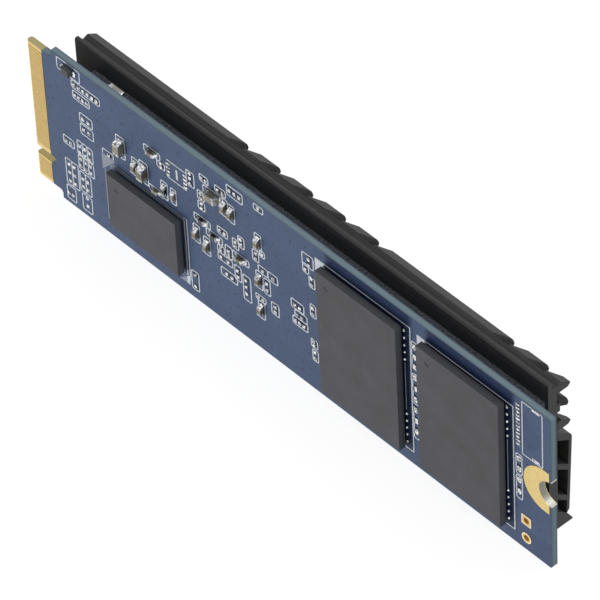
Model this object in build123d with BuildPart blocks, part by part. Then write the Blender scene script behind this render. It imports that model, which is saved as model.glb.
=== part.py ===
"""Solid-state drive on a narrow plug-in card, with a finned heatsink on its rear face.

The drive stands on its long edge. X runs along the card from the edge connector (-X) to the
fixing screw (+X), Z is up across the card, and the bare component face looks towards -Y.
Places on the card are given as (x, z): x from the connector tip, z from the lower long edge.
All sizes are in millimetres.
"""

import os

from build123d import *

# Card outline, from the plug-in card standard for a 22 x 80 module
board_length = 80.0
board_width = 22.0
board_thickness = 0.8
tab_length = 4.0
tab_width = 19.85
tab_bevel = 0.22
corner_radius = 0.25
shoulder_radius = 0.4
middle_z = board_width / 2

# Key slot and half-round fixing notch
key_z = middle_z - 6.125
key_width = 1.2
key_depth = 3.5
notch_radius = 1.75

# Plated metal on the card
plating = 0.04
contact_pitch = 0.5
contact_width = 0.35
contact_start = 0.35
contact_end = 2.45
contact_count = 75
first_keyed_contact = 59
last_keyed_contact = 66
screw_pad_radius = 3.0
screw_pad_center = 79.05
screw_pad_end = 79.75

# Plated holes near the fixing end
hole_x = 76.35
square_hole_z = 4.4
round_hole_z = 1.8
hole_pad_size = 1.4
hole_radius = 0.36
barrel_wall = 0.06

# Memory and controller packages
front_package_height = 1.05
rear_package_height = 1.2
joint_height = 0.22
joint_inset = 0.6
package_edge_break = 0.05
dimple_radius = 0.32
dimple_depth = 0.05
dimple_inset = 1.6
dimple_sides = 12
nand_size = (12.0, 18.0)
nand_centers = [(52.5, 11.0), (67.55, 11.0)]
dram_size = (11.1, 7.8)
dram_center = (18.65, 6.92)
controller_size = (13.0, 13.0)
controller_center = (33.5, 11.0)
power_chip_size = (3.0, 3.0)
power_chip_center = (10.2, 15.2)
power_chip_height = 0.85

# Two-ended chip parts: length, width and height
large_size = (1.65, 0.95, 0.8)
medium_size = (1.1, 0.6, 0.55)
small_size = (0.8, 0.45, 0.4)
resistor_size = (1.1, 0.6, 0.4)
rear_size = (2.0, 1.25, 0.95)
inductor_size = (2.5, 2.0, 1.0)
end_share = 0.24
end_proud = 0.02
end_edge_break = 0.05

# Places of the chip parts, upright ones along Z and level ones along X
large_upright = [(14.7, 15.0), (18.35, 13.75)]
large_level = [(29.6, 18.15)]
medium_upright = [
    (16.95, 13.6), (31.35, 17.65), (32.4, 17.45), (26.5, 10.45),
    (28.1, 9.65), (36.45, 16.1), (36.35, 10.5), (36.45, 6.1),
]
medium_level = [(19.95, 17.85), (33.5, 11.6)]
small_upright = [(23.05, 13.45)]
small_level = [(20.2, 12.3)]
resistor_upright = [(21.6, 13.4)]
resistor_level = [(27.55, 13.05), (29.4, 12.0)]
rear_level = [(12.9, 20.7), (24.0, 19.2), (40.6, 19.2), (43.2, 19.2), (12.9, 1.4), (27.0, 1.4), (31.0, 1.4)]
rear_upright = [(8.0, 10.5), (8.0, 7.2), (42.3, 14.5), (42.3, 11.0), (42.3, 7.5)]
inductor_level = [(15.2, 15.4), (19.6, 15.4)]

# Two-lead diode by the connector
diode_center = (6.85, 21.0)
diode_body = (1.15, 0.95, 0.6)
diode_lead = (0.55, 0.55, 0.14)

# Bare solder pads: rows run along X and columns along Z, as (x, z, count, pitch)
pad_size = 0.46
pad_rows = [
    (33.1, 20.85, 3, 0.75), (36.8, 21.4, 1, 0.7), (28.25, 19.6, 2, 0.7), (30.8, 19.6, 2, 0.8),
    (30.75, 13.6, 2, 0.7), (31.5, 7.65, 2, 0.85), (37.8, 12.25, 2, 1.6), (42.25, 10.85, 2, 0.75),
    (42.5, 9.5, 2, 0.8), (42.5, 8.5, 3, 0.65), (9.45, 19.35, 6, 0.72), (8.6, 17.85, 4, 0.65),
    (9.1, 15.0, 2, 0.9), (9.1, 13.4, 2, 0.9), (5.8, 9.7, 2, 0.8), (8.5, 10.4, 3, 0.8),
    (8.5, 9.4, 3, 0.8), (8.5, 8.4, 3, 0.8), (8.5, 7.4, 3, 0.8), (6.0, 6.2, 2, 0.8),
    (6.0, 5.0, 2, 0.8), (6.0, 3.7, 2, 0.8), (8.2, 5.5, 2, 0.8), (8.2, 4.3, 2, 0.8), (5.5, 1.6, 2, 0.7),
]
pad_columns = [
    (27.6, 16.75, 2, 0.7), (27.65, 15.3, 2, 0.7), (26.0, 18.6, 2, 0.7), (26.0, 17.4, 1, 0.6),
    (33.65, 14.25, 2, 0.75), (32.8, 13.3, 2, 0.65), (32.9, 8.95, 2, 0.9), (34.15, 7.9, 3, 1.0),
    (37.5, 10.3, 2, 1.0), (35.95, 13.8, 2, 0.8), (37.0, 14.75, 1, 0.6), (38.65, 7.75, 2, 0.75),
    (44.7, 11.9, 2, 0.9), (44.75, 16.3, 2, 0.9), (44.6, 7.0, 2, 0.65), (44.75, 5.3, 2, 0.9),
    (44.4, 18.9, 2, 0.9), (43.8, 17.5, 1, 0.6), (25.75, 2.8, 2, 1.7), (30.3, 10.2, 2, 1.0),
    (31.4, 9.7, 1, 0.6), (31.6, 11.4, 1, 0.6), (8.3, 2.3, 2, 1.2), (12.6, 12.3, 1, 0.6),
    (60.15, 16.5, 3, 1.45), (60.15, 11.8, 3, 1.6), (60.15, 7.0, 3, 1.6),
    (75.4, 12.25, 2, 1.5), (75.4, 9.0, 2, 1.7), (21.3, 16.9, 2, 0.6),
]

# Bare pads of a small eight-lead chip and of a twelve-way ribbon socket
chip_pad_x = [22.5, 25.2]
chip_pad_middle_z = 17.15
chip_pad_pitch = 0.55
chip_pad_rows = 4
chip_pad_size = (0.6, 0.3)
socket_pad_x = 75.33
socket_pad_middle_z = 18.05
socket_pad_pitch = 0.52
socket_pad_count = 12
socket_pad_size = (0.6, 0.28)
socket_anchor_size = (1.1, 0.35)
socket_anchors = [(77.9, 14.42), (77.9, 21.65)]

# Bare ball pads beside the memory packages, for a wider package
ball_pad_radius = 0.21
ball_pad_sides = 6
ball_pad_pitch = 1.05
ball_pad_rows = 5
ball_pad_reach = 6.18
ball_pad_groups_z = [17.25, 4.95]

# Thermal pad between the rear packages and the heatsink
pad_left = 7.5
pad_right = 76.0
pad_bottom = 1.6
pad_top = 19.4

# Heatsink section, in depth behind the component face and height above the lower edge
heatsink_left = 4.4
heatsink_right = 76.5
base_front = board_thickness + rear_package_height + 1.1
base_back = base_front + 1.2
fin_tip = base_back + 2.05
fin_nose_height = 0.45
fin_nose_bevel = 0.5
fin_nose_radius = 0.25
fin_shoulder = (base_back + 0.6, 1.35)
fin_root_height = 1.1
fin_bottoms = [14.55, 17.3, 20.05]
lip_thickness = 0.6
lip_radius = 0.25
lip_floor_z = 21.15

# Hollow cover on the lower half of the heatsink, with three slanting air channels and a foot below
cover_face = base_back + 2.1
cover_root_z = 14.4
cover_corner_z = 12.8
cover_radius = 1.1
cover_bottom_z = 1.85
cover_lean = 0.45
cover_wall = 0.4
channel_tops = [13.2, 8.9, 4.4]
channel_bottoms = [9.7, 5.2, 2.6]
channel_drop = 1.1
foot_groove = (base_back + 1.3, 1.45)
foot_nose_height = 0.15

# Slanted slots across the fins: x where the wall of each one crosses the nose of the top fin
slot_top_z = fin_bottoms[-1] + fin_nose_height
slot_width = 1.67
slot_depth = 1.6
slot_lean = 0.55
slot_edge_break = 0.25
slot_pitch = 5.0
slot_first_x = 28.35
slot_steps = [0, 1, 2, 3, 4, 8, 9]
slot_run = 50.0

# The card stands so that the whole drive is centred on Y
front_face_y = (front_package_height - cover_face) / 2
rear_face_y = front_face_y + board_thickness
half_length = board_length / 2

os.makedirs("parts", exist_ok=True)


def card_plane(y):
    """Plane parallel to the card, with its own x and y as the card's (x, z)."""
    return Plane(origin=(-half_length, y, 0), x_dir=(1, 0, 0), z_dir=(0, -1, 0))


def section_plane(x):
    """Plane across the card, with its own x as the depth behind the component face and y as z."""
    return Plane(origin=(x - half_length, front_face_y, 0), x_dir=(0, 1, 0), z_dir=(1, 0, 0))


def save(piece, name):
    """Name a finished piece and write it to its own file."""
    piece.part.label = name
    export_step(piece.part, f"parts/{name}.step")


# Circuit board with its connector tab, key slot, fixing notch and two drilled holes
with BuildPart() as circuit_board:
    with BuildSketch(card_plane(rear_face_y)) as outline:
        with Locations((tab_length, 0)):
            Rectangle(board_length - tab_length, board_width, align=(Align.MIN, Align.MIN))
        fillet(outline.vertices().group_by(Axis.X)[-1], corner_radius)
        with Locations((0, middle_z)):
            Rectangle(tab_length, tab_width, align=(Align.MIN, Align.CENTER))
        shoulders = outline.vertices().group_by(Axis.X)[1].sort_by(Axis.Y)
        fillet([shoulders[1], shoulders[-2]], shoulder_radius)
        with Locations((0, key_z)):
            Rectangle(key_depth - key_width / 2, key_width, align=(Align.MIN, Align.CENTER), mode=Mode.SUBTRACT)
        with Locations((key_depth - key_width / 2, key_z)):
            Circle(key_width / 2, mode=Mode.SUBTRACT)
        with Locations((board_length, middle_z)):
            Circle(notch_radius, mode=Mode.SUBTRACT)
        with Locations((hole_x, square_hole_z), (hole_x, round_hole_z)):
            Circle(hole_radius + barrel_wall, mode=Mode.SUBTRACT)
    extrude(amount=board_thickness)
    tip_edges = circuit_board.edges().filter_by(Axis.Z).group_by(Axis.X)[0]
    chamfer(tip_edges, tab_bevel)
save(circuit_board, "circuit_board")


def contact_places(first):
    """Centres of every second contact from the given one, leaving out those at the key."""
    places = []
    for number in range(first, contact_count + 1, 2):
        if first_keyed_contact <= number <= last_keyed_contact:
            continue
        offset = (number - (contact_count + 1) / 2) * contact_pitch / 2
        places.append(((contact_start + contact_end) / 2, middle_z - offset))
    return places


def edge_contacts(y, outwards, first):
    """Row of gold contact fingers on one face of the tab."""
    with BuildPart() as contacts:
        with BuildSketch(card_plane(y)):
            with Locations(*contact_places(first)):
                Rectangle(contact_end - contact_start, contact_width)
        extrude(amount=outwards * plating)
    return contacts


save(edge_contacts(front_face_y, 1, 1), "edge_contacts_front")
save(edge_contacts(rear_face_y, -1, 2), "edge_contacts_rear")


def screw_pad(y, outwards):
    """U-shaped gold pad round the fixing notch, on one face."""
    with BuildPart() as pad:
        with BuildSketch(card_plane(y)):
            with Locations((screw_pad_center, middle_z)):
                Circle(screw_pad_radius)
            with Locations((screw_pad_center, middle_z)):
                Rectangle(
                    screw_pad_radius,
                    2 * screw_pad_radius,
                    align=(Align.MIN, Align.CENTER),
                )
            with Locations((screw_pad_end, middle_z)):
                Rectangle(
                    2 * screw_pad_radius,
                    3 * screw_pad_radius,
                    align=(Align.MIN, Align.CENTER),
                    mode=Mode.SUBTRACT,
                )
            with Locations((board_length, middle_z)):
                Circle(notch_radius, mode=Mode.SUBTRACT)
        extrude(amount=outwards * plating)
    return pad


save(screw_pad(front_face_y, 1), "screw_pad_front")
save(screw_pad(rear_face_y, -1), "screw_pad_rear")


def plated_hole(z, square):
    """Plated barrel through the card with a pad on each face."""
    with BuildPart() as hole:
        for y, outwards in ((front_face_y, 1), (rear_face_y, -1)):
            with BuildSketch(card_plane(y)):
                with Locations((hole_x, z)):
                    if square:
                        Rectangle(hole_pad_size, hole_pad_size)
                    else:
                        Circle(hole_pad_size / 2)
                    Circle(hole_radius, mode=Mode.SUBTRACT)
            extrude(amount=outwards * plating)
        with BuildSketch(card_plane(rear_face_y)):
            with Locations((hole_x, z)):
                Circle(hole_radius + barrel_wall)
                Circle(hole_radius, mode=Mode.SUBTRACT)
        extrude(amount=board_thickness)
    return hole


save(plated_hole(square_hole_z, True), "square_plated_hole")
save(plated_hole(round_hole_z, False), "round_plated_hole")


def package(y, outwards, center, size, height):
    """Moulded chip package standing on its solder joints, with a first-pin dimple."""
    body_height = height - joint_height
    dimple = (center[0] - size[0] / 2 + dimple_inset, center[1] + size[1] / 2 - dimple_inset)
    with BuildPart() as chip:
        with BuildSketch(card_plane(y - outwards * joint_height)):
            with Locations(center):
                Rectangle(*size)
        extrude(amount=outwards * body_height)
        top = chip.faces().sort_by(Axis.Y)[0 if outwards > 0 else -1]
        chamfer(top.edges(), package_edge_break)
        with BuildSketch(card_plane(y - outwards * (height - dimple_depth))):
            with Locations(dimple):
                RegularPolygon(dimple_radius, dimple_sides)
        extrude(amount=outwards * dimple_depth, mode=Mode.SUBTRACT)
    return chip


save(package(front_face_y, 1, dram_center, dram_size, front_package_height), "dram_front")
save(package(rear_face_y, -1, dram_center, dram_size, rear_package_height), "dram_rear")
for index, nand_center in enumerate(nand_centers, start=1):
    save(package(front_face_y, 1, nand_center, nand_size, front_package_height), f"nand_front_{index}")
    save(package(rear_face_y, -1, nand_center, nand_size, rear_package_height), f"nand_rear_{index}")
save(package(rear_face_y, -1, controller_center, controller_size, rear_package_height), "controller")
save(package(rear_face_y, -1, power_chip_center, power_chip_size, power_chip_height), "power_chip")


def solder_joints(y, outwards, fields):
    """Solder under the packages: one low block for each field of joints."""
    with BuildPart() as joints:
        with BuildSketch(card_plane(y)):
            for center, size in fields:
                with Locations(center):
                    Rectangle(size[0] - 2 * joint_inset, size[1] - 2 * joint_inset)
        extrude(amount=outwards * joint_height)
    return joints


memory_fields = [(dram_center, dram_size)] + [(center, nand_size) for center in nand_centers]
rear_fields = memory_fields + [(controller_center, controller_size), (power_chip_center, power_chip_size)]
save(solder_joints(front_face_y, 1, memory_fields), "solder_joints_front")
save(solder_joints(rear_face_y, -1, rear_fields), "solder_joints_rear")


def chip_places(y, outwards, height, places):
    """Centres of chip parts that stand on one face."""
    return [(x - half_length, y - outwards * height / 2, z) for x, z in places]


def chip_bodies(y, outwards, size, upright, level):
    """Ceramic middles of two-ended chip parts, held between their metal ends."""
    length, width, height = size
    middle = length * (1 - 2 * end_share)
    with BuildPart() as bodies:
        if upright:
            with Locations(*chip_places(y, outwards, height, upright)):
                Box(width - 2 * end_proud, height - 2 * end_proud, middle)
        if level:
            with Locations(*chip_places(y, outwards, height, level)):
                Box(middle, height - 2 * end_proud, width - 2 * end_proud)
    return bodies


def chip_end(width, height, depth):
    """One metal end cap with its edges broken."""
    with BuildPart() as cap:
        Box(width, height, depth)
        chamfer(cap.edges(), end_edge_break)
    return cap


def chip_ends(y, outwards, size, upright, level):
    """Metal end caps of two-ended chip parts, two to a part."""
    length, width, height = size
    depth = length * end_share
    reach = (length - depth) / 2
    upright_ends = [(x, z + side * reach) for x, z in upright for side in (-1, 1)]
    level_ends = [(x + side * reach, z) for x, z in level for side in (-1, 1)]
    upright_cap = chip_end(width, height, depth)
    level_cap = chip_end(depth, height, width)
    with BuildPart() as ends:
        if upright_ends:
            with Locations(*chip_places(y, outwards, height, upright_ends)):
                add(upright_cap.part)
        if level_ends:
            with Locations(*chip_places(y, outwards, height, level_ends)):
                add(level_cap.part)
    return ends


chip_groups = [
    ("large_capacitor", front_face_y, 1, large_size, large_upright, large_level),
    ("medium_capacitor", front_face_y, 1, medium_size, medium_upright, medium_level),
    ("small_capacitor", front_face_y, 1, small_size, small_upright, small_level),
    ("resistor", front_face_y, 1, resistor_size, resistor_upright, resistor_level),
    ("rear_capacitor", rear_face_y, -1, rear_size, rear_upright, rear_level),
    ("inductor", rear_face_y, -1, inductor_size, [], inductor_level),
]
for group_name, face_y, outwards, chip_size, upright_places, level_places in chip_groups:
    save(chip_bodies(face_y, outwards, chip_size, upright_places, level_places), f"{group_name}_bodies")
    save(chip_ends(face_y, outwards, chip_size, upright_places, level_places), f"{group_name}_ends")

# Diode: a moulded body with a flat lead at each end
with BuildPart() as diode:
    with Locations(*chip_places(front_face_y, 1, diode_body[2], [diode_center])):
        Box(diode_body[0], diode_body[2], diode_body[1])
    chamfer(diode.faces().sort_by(Axis.Y)[0].edges(), end_edge_break)
save(diode, "diode")

with BuildPart() as diode_leads:
    lead_reach = (diode_body[0] + diode_lead[0]) / 2
    lead_centers = [(diode_center[0] + side * lead_reach, diode_center[1]) for side in (-1, 1)]
    with Locations(*chip_places(front_face_y, 1, diode_lead[2], lead_centers)):
        Box(diode_lead[0], diode_lead[2], diode_lead[1])
save(diode_leads, "diode_leads")

# Bare solder pads of parts that are not fitted
with BuildPart() as bare_pads:
    with BuildSketch(card_plane(front_face_y)):
        for x, z, count, pitch in pad_rows:
            with Locations((x, z)):
                with GridLocations(pitch, pitch, count, 1):
                    Rectangle(pad_size, pad_size)
        for x, z, count, pitch in pad_columns:
            with Locations((x, z)):
                with GridLocations(pitch, pitch, 1, count):
                    Rectangle(pad_size, pad_size)
    extrude(amount=plating)
save(bare_pads, "bare_pads")

with BuildPart() as chip_pads:
    with BuildSketch(card_plane(front_face_y)):
        for x in chip_pad_x:
            with Locations((x, chip_pad_middle_z)):
                with GridLocations(chip_pad_pitch, chip_pad_pitch, 1, chip_pad_rows):
                    Rectangle(*chip_pad_size)
    extrude(amount=plating)
save(chip_pads, "chip_pads")

with BuildPart() as socket_pads:
    with BuildSketch(card_plane(front_face_y)):
        with Locations((socket_pad_x, socket_pad_middle_z)):
            with GridLocations(socket_pad_pitch, socket_pad_pitch, 1, socket_pad_count):
                Rectangle(*socket_pad_size)
        with Locations(*socket_anchors):
            Rectangle(*socket_anchor_size)
    extrude(amount=plating)
save(socket_pads, "socket_pads")

with BuildPart() as ball_pads:
    with BuildSketch(card_plane(front_face_y)):
        for center_x, center_z in nand_centers:
            for group_z in ball_pad_groups_z:
                with Locations((center_x, group_z)):
                    with GridLocations(2 * ball_pad_reach, ball_pad_pitch, 2, ball_pad_rows):
                        RegularPolygon(ball_pad_radius, ball_pad_sides)
    extrude(amount=plating)
save(ball_pads, "ball_pads")

# Soft thermal pad, pressed between the rear packages and the heatsink base
with BuildPart() as thermal_pad:
    with BuildSketch(card_plane(front_face_y + base_front)):
        with Locations((pad_left, pad_bottom)):
            Rectangle(pad_right - pad_left, pad_top - pad_bottom, align=(Align.MIN, Align.MIN))
    extrude(amount=base_front - board_thickness - rear_package_height)
save(thermal_pad, "thermal_pad")


def fin_outline(bottom):
    """Outline of one fin: flat below, with a bevelled nose, and sloping above down to a low shoulder."""
    return [
        (base_back, bottom),
        (fin_tip - fin_nose_bevel, bottom),
        (fin_tip, bottom + fin_nose_height),
        (fin_shoulder[0], bottom + fin_shoulder[1]),
        (base_back, bottom + fin_root_height),
    ]


def cover_depth(z):
    """Depth of the leaning outer face of the cover at a height."""
    return cover_face - cover_lean * (cover_corner_z - z) / (cover_corner_z - cover_bottom_z)


def slot_plane(x):
    """Plane square to a slanted slot, with its own x across the slot and y as the depth."""
    origin = (x - half_length, front_face_y, slot_top_z)
    return Plane(origin=origin, x_dir=(1, 0, 1), z_dir=(-1, 0, 1))


# Section of a slot: its walls lean, and their outer edges are broken
slot_floor = fin_tip - slot_depth
slot_outline = [
    (-slot_lean, slot_floor),
    (slot_width - slot_lean, slot_floor),
    (slot_width, fin_tip - slot_edge_break),
    (slot_width + 2 * slot_edge_break, fin_tip + slot_edge_break),
    (-slot_edge_break, fin_tip + slot_edge_break),
    (0, fin_tip - slot_edge_break),
]

# Heatsink: one extruded length with slanted slots cut across its fins, then the hollow cover and the foot
heatsink_length = heatsink_right - heatsink_left
with BuildPart() as heatsink:
    with BuildSketch(section_plane(heatsink_left)) as base_section:
        with Locations((base_front, 0)):
            Rectangle(base_back - base_front, lip_floor_z, align=(Align.MIN, Align.MIN))
            Rectangle(lip_thickness, board_width, align=(Align.MIN, Align.MIN))
        fillet(base_section.vertices().group_by(Axis.Y)[-1], lip_radius)
        for fin_bottom in fin_bottoms:
            with BuildSketch(mode=Mode.PRIVATE) as fin:
                with BuildLine():
                    Polyline(*fin_outline(fin_bottom), close=True)
                make_face()
                nose = fin.vertices().sort_by(Axis.X)[-2:]
                fillet(nose, fin_nose_radius)
            add(fin.sketch)
    extrude(amount=heatsink_length)
    for slot_step in slot_steps:
        with BuildSketch(slot_plane(slot_first_x + slot_step * slot_pitch)):
            with BuildLine():
                Polyline(*slot_outline, close=True)
            make_face()
        extrude(amount=slot_run, both=True, mode=Mode.SUBTRACT)
    with BuildSketch(section_plane(heatsink_left)) as cover_section:
        with BuildLine():
            Polyline(
                (base_back, cover_root_z),
                (cover_face, cover_corner_z),
                (cover_depth(cover_bottom_z), cover_bottom_z),
                foot_groove,
                (cover_face, foot_nose_height),
                (cover_face, 0),
                (base_back, 0),
                close=True,
            )
        make_face()
        corner = cover_section.vertices().sort_by_distance((cover_face, cover_corner_z))[0]
        fillet(corner, cover_radius)
        for channel_top, channel_bottom in zip(channel_tops, channel_bottoms):
            outer_top = channel_top - channel_drop
            outer_bottom = channel_bottom - channel_drop
            with BuildLine():
                Polyline(
                    (base_back, channel_top),
                    (base_back, channel_bottom),
                    (cover_depth(outer_bottom) - cover_wall, outer_bottom),
                    (cover_depth(outer_top) - cover_wall, outer_top),
                    close=True,
                )
            make_face(mode=Mode.SUBTRACT)
    extrude(amount=heatsink_length)
save(heatsink, "heatsink")
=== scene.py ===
# %% [markdown]
# # A solid-state drive on a plug-in card
#
# The drive stands on its long edge. We look at its bare component face: a blue circuit board with
# three big memory packages, a crowd of tiny chip parts, gold edge contacts at one end and a gold
# screw pad at the other. A black finned heatsink covers the far side. The solids come ready made,
# so this lesson is about finishes and about the fine things that are printed and soldered on.

# %% Load the solids and keep their box
import math

import bmesh
import bpy
from mathutils import Matrix, Vector


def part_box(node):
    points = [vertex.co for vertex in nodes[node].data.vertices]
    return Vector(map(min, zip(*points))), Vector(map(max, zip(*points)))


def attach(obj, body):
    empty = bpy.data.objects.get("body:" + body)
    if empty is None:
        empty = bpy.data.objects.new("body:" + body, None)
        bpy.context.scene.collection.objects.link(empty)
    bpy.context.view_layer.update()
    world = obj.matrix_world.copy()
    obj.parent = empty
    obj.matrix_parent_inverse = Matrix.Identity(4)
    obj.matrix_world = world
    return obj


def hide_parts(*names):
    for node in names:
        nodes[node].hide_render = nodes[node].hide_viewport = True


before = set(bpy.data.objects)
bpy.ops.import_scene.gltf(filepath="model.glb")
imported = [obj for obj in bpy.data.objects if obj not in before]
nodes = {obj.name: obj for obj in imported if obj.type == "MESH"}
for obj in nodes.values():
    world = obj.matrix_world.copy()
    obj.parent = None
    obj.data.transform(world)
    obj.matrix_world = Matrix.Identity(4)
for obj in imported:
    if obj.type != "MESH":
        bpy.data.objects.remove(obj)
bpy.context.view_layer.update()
print("loaded", len(nodes), "solids")

# %% [markdown]
# ## A ruler that follows the card
#
# Everything on a circuit board is placed by two numbers: how far along the card, and how far up it.
# A matrix can hold that habit. In card space x runs from the connector tip, y from the lower long
# edge, z straight out of the component face, and all three are in millimetres. Each new piece is
# drawn there and turned into place once, in its mesh, so its object stays at the origin.

# %% Card space
mm = 0.001
board_low, board_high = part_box("circuit_board")
card = (
    Matrix.Translation((board_low.x, board_low.y, 0))
    @ Matrix.Rotation(math.radians(90), 4, "X")
    @ Matrix.Scale(mm, 4)
)
board_thickness = (board_high.y - board_low.y) / mm
print("card corner", card @ Vector((0, 0, 0)), "thickness", round(board_thickness, 3), "mm")

# %% [markdown]
# ## The camera
#
# The photograph was taken from far away with a long lens, so parallel edges stay almost parallel.
# The camera could be posed by eye, but a place, a point to look at and a small roll say it exactly.
# `to_track_quat` turns the camera's -Z axis to the aim point, and the roll is applied in its own axes.

# %% Camera
camera_data = bpy.data.cameras.new("camera")
camera_data.sensor_width = 36
camera_data.lens = 356.6
camera_data.clip_start = 0.05
camera_place = Vector((331.967, -283.156, 453.177)) * mm
camera_aim = Vector((0.424, -0.756, 9.089)) * mm
camera_roll = math.radians(-3.09)
look = (camera_aim - camera_place).to_track_quat("-Z", "Y").to_matrix()
camera = bpy.data.objects.new("camera", camera_data)
camera.location = camera_place
camera.rotation_euler = (look @ Matrix.Rotation(camera_roll, 3, "Z")).to_euler()
bpy.context.scene.collection.objects.link(camera)
bpy.context.scene.camera = camera
print("camera stands", round((camera_aim - camera_place).length, 3), "m away")

# %% [markdown]
# ## Colour and node helpers
#
# Colours are easiest to read as hex values, but shaders work in linear light, so one function converts.
# Node trees grow long when every node is spelled out, so another adds a node, sets its properties and
# fills its sockets. A socket can be given a number, a colour, one output of another node, or just that
# node, which then links by the first of its outputs that is in use.

# %% Helpers for materials
def colour(text):
    """Linear RGBA of an sRGB hex value."""
    values = [int(text[i:i + 2], 16) / 255 for i in (1, 3, 5)]
    linear = [v / 12.92 if v <= 0.04045 else ((v + 0.055) / 1.055) ** 2.4 for v in values]
    return (*linear, 1.0)


def fill(tree, node, inputs):
    """Give the sockets of a node values or links."""
    for socket, value in inputs.items():
        if isinstance(value, bpy.types.Node):
            value = next(output for output in value.outputs if output.enabled)
        if isinstance(value, bpy.types.NodeSocket):
            tree.links.new(value, node.inputs[socket])
        else:
            node.inputs[socket].default_value = value


def put(tree, kind, inputs, **settings):
    """Add a node with its settings, and fill its sockets."""
    node = tree.nodes.new(kind)
    for name, value in settings.items():
        setattr(node, name, value)
    fill(tree, node, inputs)
    return node


def start_material(name, values):
    """New material: its tree, its shader, and its Object coordinates counted in millimetres."""
    material = bpy.data.materials.new(name)
    material.use_nodes = True
    tree = material.node_tree
    shader = tree.nodes["Principled BSDF"]
    fill(tree, shader, values)
    place = put(tree, "ShaderNodeTexCoord", {})
    scaled = put(
        tree, "ShaderNodeVectorMath", {0: place.outputs["Object"], "Scale": 1 / mm}, operation="SCALE",
    )
    return material, tree, shader, scaled


def dress(material, *names):
    """Give a material to solids of the frame."""
    for name in names:
        nodes[name].data.materials.clear()
        nodes[name].data.materials.append(material)
    print(material.name, "on", ", ".join(names))


# %% [markdown]
# ## The circuit board
#
# The board is woven glass and epoxy, covered on both faces by a blue solder mask. Under the mask lie
# copper areas and tracks, which show as slightly different blues. Blocky cells give the copper areas and
# bands give the tracks, each at its real size. Only some of the areas have tracks.

# %% Copper under the solder mask
copper_area, track_pitch = 5.5, 0.5
mask, tree, shader, spot = start_material(
    "blue_solder_mask_on_laminate", {"IOR": 1.5, "Specular IOR Level": 0.12},
)
area_cells = put(
    tree, "ShaderNodeTexVoronoi", {"Vector": spot, "Scale": 1 / copper_area},
    distance="CHEBYCHEV", feature="F1",
)
area_pick = put(tree, "ShaderNodeSeparateColor", {"Color": area_cells.outputs["Color"]})
area_blue = put(
    tree, "ShaderNodeMix", {0: area_pick.outputs["Red"], 6: colour("#475774"), 7: colour("#4F5F7D")},
    data_type="RGBA",
)
tracks = put(
    tree, "ShaderNodeTexWave", {"Vector": spot, "Scale": math.pi / (10 * track_pitch), "Distortion": 0.0},
    wave_type="BANDS", bands_direction="Z", wave_profile="TRI",
)
track_area = put(
    tree, "ShaderNodeMapRange",
    {"Value": area_pick.outputs["Green"], "From Min": 0.6, "From Max": 0.65, "To Max": 0.12},
)
track_line = put(tree, "ShaderNodeMath", {0: tracks.outputs["Fac"], 1: track_area}, operation="MULTIPLY")
track_blue = put(
    tree, "ShaderNodeMix", {0: track_line, 6: area_blue, 7: colour("#5E6E8A")}, data_type="RGBA",
)
print("tracks every", track_pitch, "mm")

# %% [markdown]
# Vias are tiny plated holes that join the copper layers. The mask covers them, and they show as darker
# dots, drawn here a little larger than real ones so that they show. The weave of the glass cloth mottles
# the blue. A noise seldom leaves the middle of its range, so it is stretched from two limits.

# %% Vias and glass weave
via_spacing, via_radius, weave_size = 0.95, 0.1, 0.45
noise_low, noise_high = 0.3, 0.7


def speckle(tree, tone, noise, darkest, lightest):
    """Darken and lighten a tone by a noise."""
    level = put(
        tree, "ShaderNodeMapRange",
        {
            "Value": noise, "From Min": noise_low, "From Max": noise_high, "To Min": darkest,
            "To Max": lightest,
        },
    )
    return put(tree, "ShaderNodeVectorMath", {0: tone, "Scale": level}, operation="SCALE")


via_cells = put(tree, "ShaderNodeTexVoronoi", {"Vector": spot, "Scale": 1 / via_spacing}, feature="F1")
via_dot = put(
    tree, "ShaderNodeMapRange",
    {
        "Value": via_cells, "From Min": via_radius / via_spacing,
        "From Max": 1.7 * via_radius / via_spacing, "To Min": 0.7, "To Max": 0.0,
    },
)
via_blue = put(tree, "ShaderNodeMix", {0: via_dot, 6: track_blue, 7: colour("#1E2A44")}, data_type="RGBA")
weave = put(tree, "ShaderNodeTexNoise", {"Vector": spot, "Scale": 1 / weave_size, "Detail": 4.0})
mask_blue = speckle(tree, via_blue, weave, darkest=0.9, lightest=1.08)
print("vias every", via_spacing, "mm")

# %% [markdown]
# The mask close round the two large memory packages is painted nearly navy: a painted shadow of the
# packages. The two zones repeat at the pitch of the packages, so the place along the card is wrapped at
# that pitch, and one soft-edged zone serves for both.

# %% Painted shadow round the memory packages
shadows_left, shadow_pitch, shadow_middle = 5.0, 15.05, 13.3
shadow_half, shadow_bottom, shadow_blur = 6.4, 1.7, 0.35
shadows_right = shadows_left + shadow_pitch
spot_parts = put(tree, "ShaderNodeSeparateXYZ", {"Vector": spot})
shadow_place = put(
    tree, "ShaderNodeMath", {0: spot_parts.outputs["X"], 1: shadows_right, 2: shadows_left}, operation="WRAP",
)
shadow_way = put(tree, "ShaderNodeMath", {0: shadow_place, 1: shadow_middle}, operation="SUBTRACT")
shadow_reach = put(tree, "ShaderNodeMath", {0: shadow_way}, operation="ABSOLUTE")
shadow_inside = put(
    tree, "ShaderNodeMapRange",
    {
        "Value": shadow_reach, "From Min": shadow_half - shadow_blur, "From Max": shadow_half + shadow_blur,
        "To Min": 0.95, "To Max": 0.0,
    },
)
shadow_pair = put(
    tree, "ShaderNodeMath", {0: spot_parts.outputs["X"], 1: shadows_right, 2: shadow_pitch},
    operation="COMPARE",
)
shadow_band = put(tree, "ShaderNodeMath", {0: shadow_inside, 1: shadow_pair}, operation="MULTIPLY")
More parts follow.
